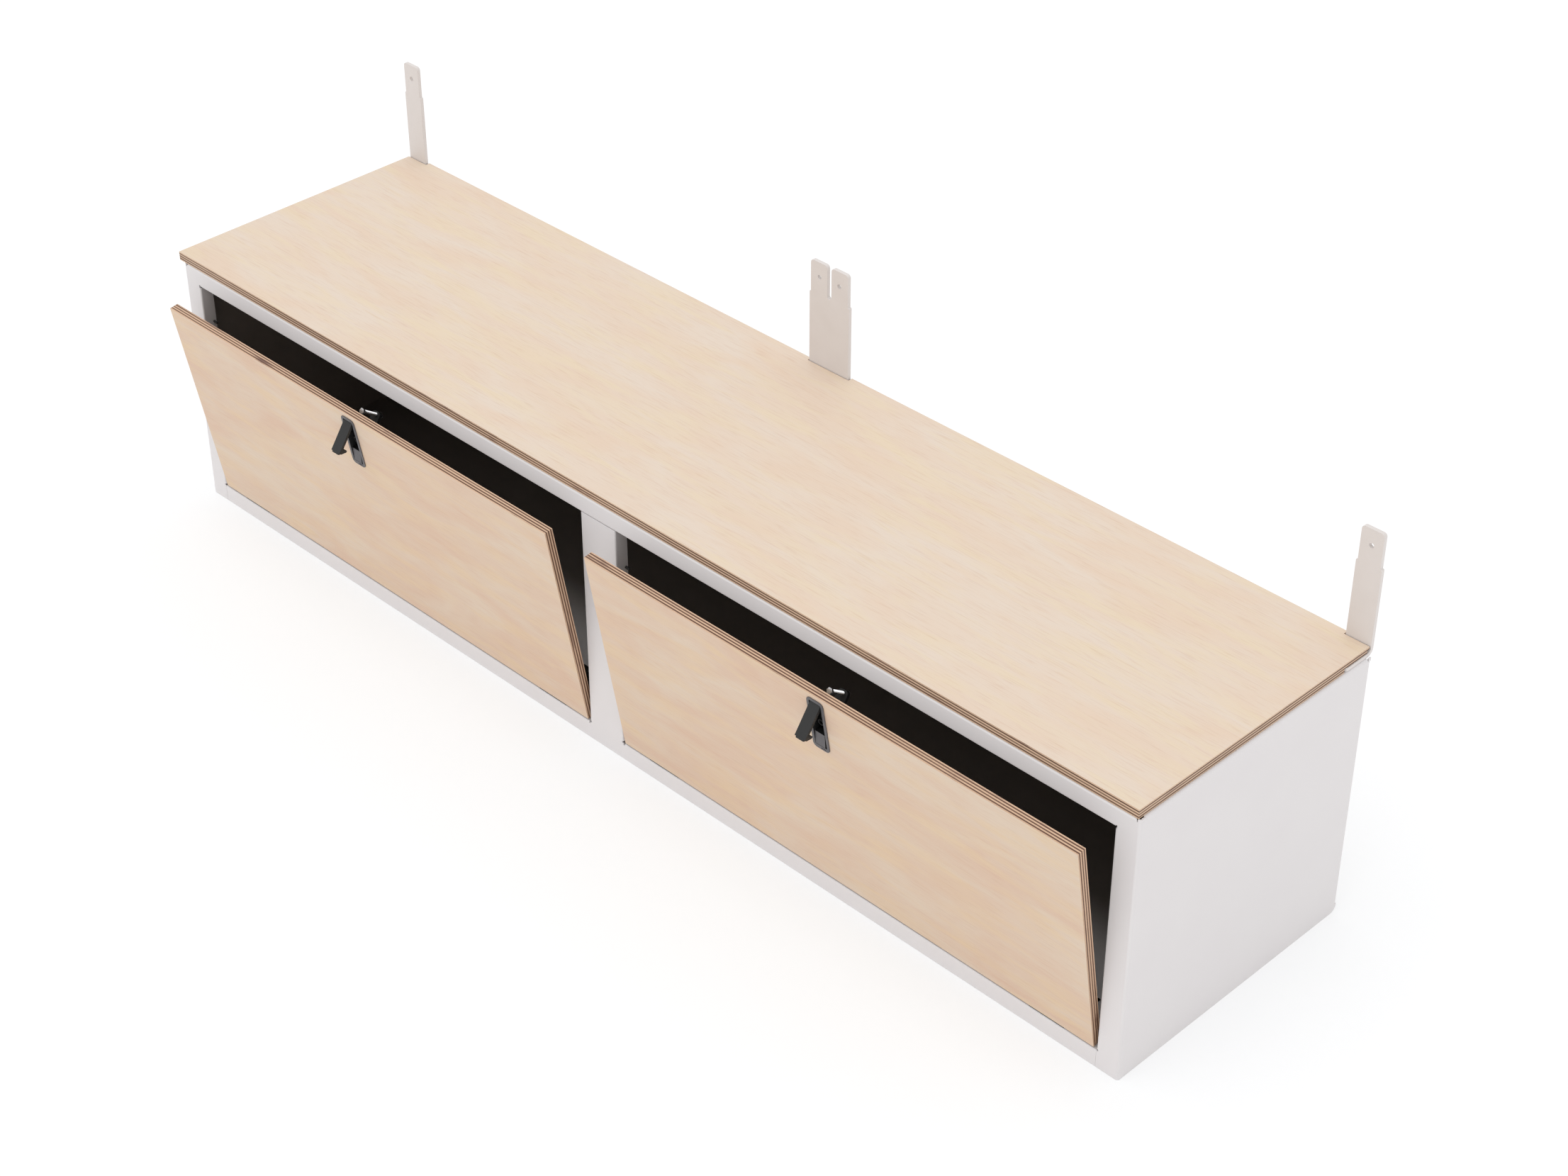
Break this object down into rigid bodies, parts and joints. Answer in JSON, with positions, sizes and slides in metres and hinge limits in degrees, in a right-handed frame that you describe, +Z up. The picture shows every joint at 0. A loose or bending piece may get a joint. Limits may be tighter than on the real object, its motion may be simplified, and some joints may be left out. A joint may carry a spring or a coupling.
{
  "type": "storage bench cabinet",
  "caption": "Low bench cabinet of folded white sheet steel with a plywood seat board, drop-down plywood doors with flush lever latches, and upright rear mounting brackets.",
  "frame": {"origin": "middle of the cabinet's underside, on the bearer that stands on the floor", "axes": "+X along the front to the right, +Y from the front to the rear, +Z up"},
  "size_m": [2.012, 0.5801, 0.637],
  "materials": {
    "powder_coated_sheet": "white powder coat, fine satin",
    "powder_coated_plate": "white powder coat, fine satin",
    "birch_plywood": "sanded, clear matt oil",
    "black_nylon": "moulded, fine matt grain",
    "black_steel": "black, semi-matt",
    "zinc_steel": "bright zinc plate",
    "stop_rubber": "matt"
  },
  "bodies": {
    "cabinet": {"back_panel": "powder_coated_sheet", "bracket_bolt_1": "zinc_steel", "bracket_bolt_2": "zinc_steel", "bracket_bolt_3": "zinc_steel", "bracket_bolt_4": "zinc_steel", "bracket_bolt_5": "zinc_steel", "bracket_bolt_6": "zinc_steel", "bracket_centre": "powder_coated_plate", "bracket_left": "powder_coated_plate", "bracket_nut_1": "zinc_steel", "bracket_nut_2": "zinc_steel", "bracket_nut_3": "zinc_steel", "bracket_nut_4": "zinc_steel", "bracket_nut_5": "zinc_steel", "bracket_nut_6": "zinc_steel", "bracket_right": "powder_coated_plate", "door_stop_1": "stop_rubber", "door_stop_2": "stop_rubber", "door_stop_3": "stop_rubber", "door_stop_4": "stop_rubber", "floor_bearer": "powder_coated_sheet", "floor_pan": "powder_coated_sheet", "hinge_base_left_1": "black_steel", "hinge_base_left_2": "black_steel", "hinge_base_right_1": "black_steel", "hinge_base_right_2": "black_steel", "hinge_pin_left_1": "zinc_steel", "hinge_pin_left_2": "zinc_steel", "hinge_pin_right_1": "zinc_steel", "hinge_pin_right_2": "zinc_steel", "outer_shell": "powder_coated_sheet", "seat_screw_1": "zinc_steel", "seat_screw_2": "zinc_steel", "seat_screw_3": "zinc_steel", "seat_screw_4": "zinc_steel", "top_board": "birch_plywood"},
    "door_left": {"door_left": "birch_plywood", "hinge_leaf_left_1": "black_steel", "hinge_leaf_left_2": "black_steel", "latch_body_left": "black_nylon", "latch_clamp_left": "black_steel", "latch_pin_left": "zinc_steel", "latch_screw_left_1": "zinc_steel", "latch_screw_left_2": "zinc_steel"},
    "lever_left": {"latch_lever_left": "black_nylon", "latch_bolt_left": "zinc_steel", "latch_nut_left": "zinc_steel"},
    "door_right": {"door_right": "birch_plywood", "hinge_leaf_right_1": "black_steel", "hinge_leaf_right_2": "black_steel", "latch_body_right": "black_nylon", "latch_clamp_right": "black_steel", "latch_pin_right": "zinc_steel", "latch_screw_right_1": "zinc_steel", "latch_screw_right_2": "zinc_steel"},
    "lever_right": {"latch_lever_right": "black_nylon", "latch_bolt_right": "zinc_steel", "latch_nut_right": "zinc_steel"}
  },
  "joints": [
    {"name": "door_left_hinge", "type": "hinge", "parent": "cabinet", "child": "door_left", "pos_m": [-0.49925, -0.2375, 0.0311], "axis": [1, 0, 0], "range_deg": [-9.88, 80.12]},
    {"name": "lever_left_pivot", "type": "hinge", "parent": "door_left", "child": "lever_left", "pos_m": [-0.49925, -0.29777, 0.38704], "axis": [-1, 0, 0], "range_deg": [-44.6, 6]},
    {"name": "door_right_hinge", "type": "hinge", "parent": "cabinet", "child": "door_right", "pos_m": [0.49925, -0.2375, 0.0311], "axis": [1, 0, 0], "range_deg": [-9.88, 80.12]},
    {"name": "lever_right_pivot", "type": "hinge", "parent": "door_right", "child": "lever_right", "pos_m": [0.49925, -0.29777, 0.38704], "axis": [-1, 0, 0], "range_deg": [-44.6, 6]}
  ]
}
